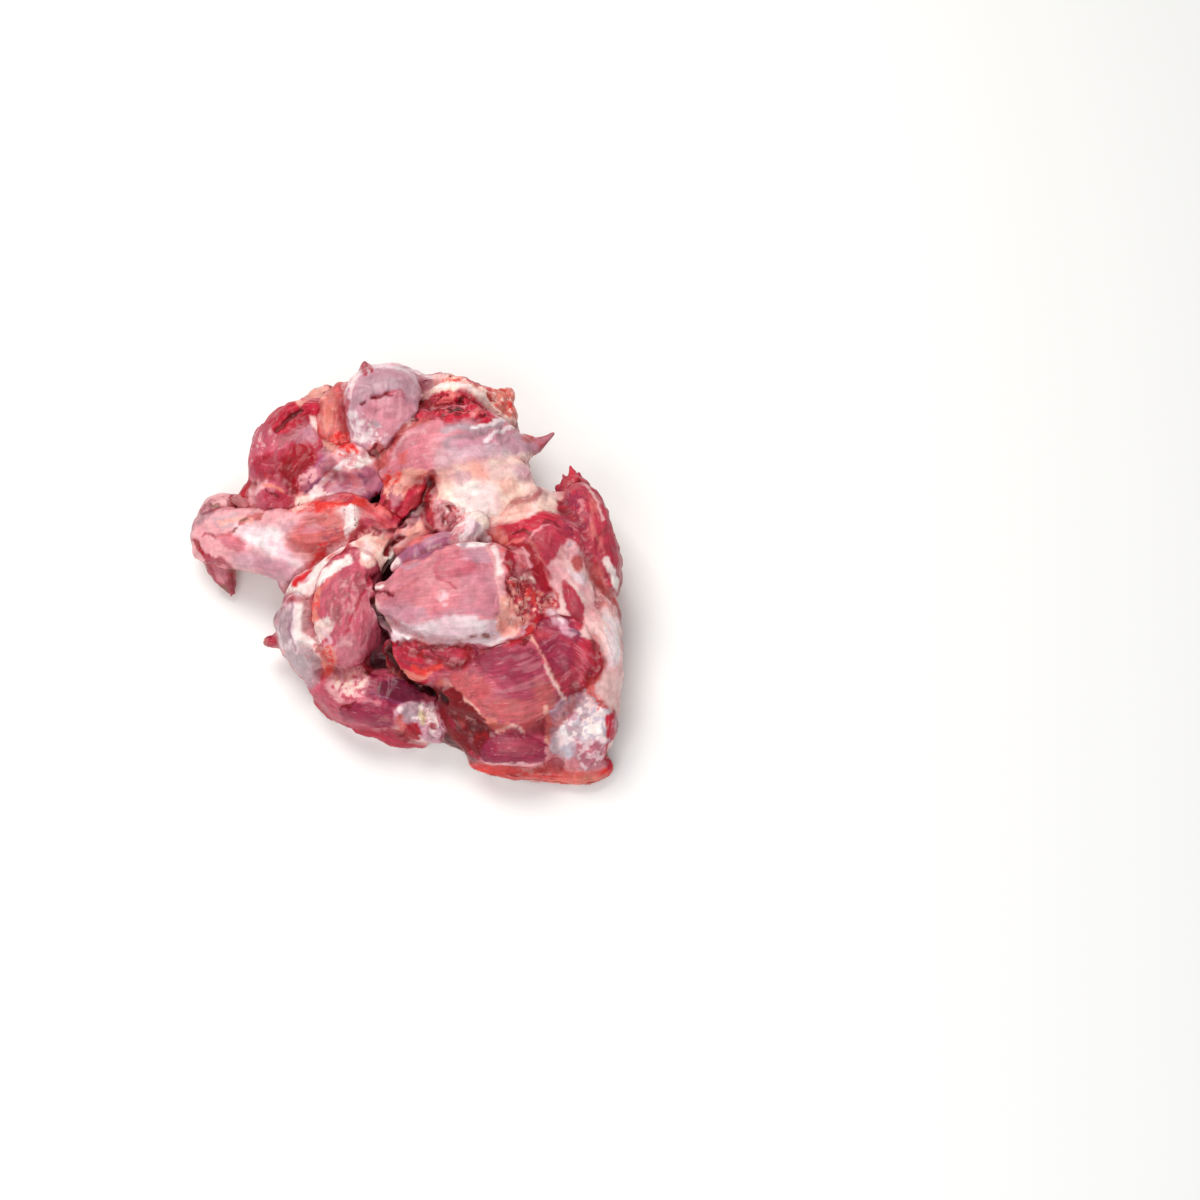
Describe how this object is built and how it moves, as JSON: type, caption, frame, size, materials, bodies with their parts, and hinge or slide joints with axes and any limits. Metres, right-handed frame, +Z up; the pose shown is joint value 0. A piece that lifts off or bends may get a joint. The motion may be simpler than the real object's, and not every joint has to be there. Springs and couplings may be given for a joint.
{
  "type": "boneless pork shoulder",
  "caption": "Raw boneless shoulder of pork, opened out and lying on its fat side, with lobes of lean, silverskin and fat on top.",
  "frame": {"origin": "on the surface that it lies on, under the middle of its bounding box", "axes": "+Z up, away from the surface; +X to the right and +Y away, seen from the near side where the big cut face is"},
  "size_m": [0.3104, 0.306, 0.0997],
  "materials": {
    "raw_meat": "moist raw pork: dark and pale lean, grey-lilac silverskin, white and cream fat"
  },
  "bodies": {
    "root": {"pork_shoulder": "raw_meat"}
  },
  "joints": []
}
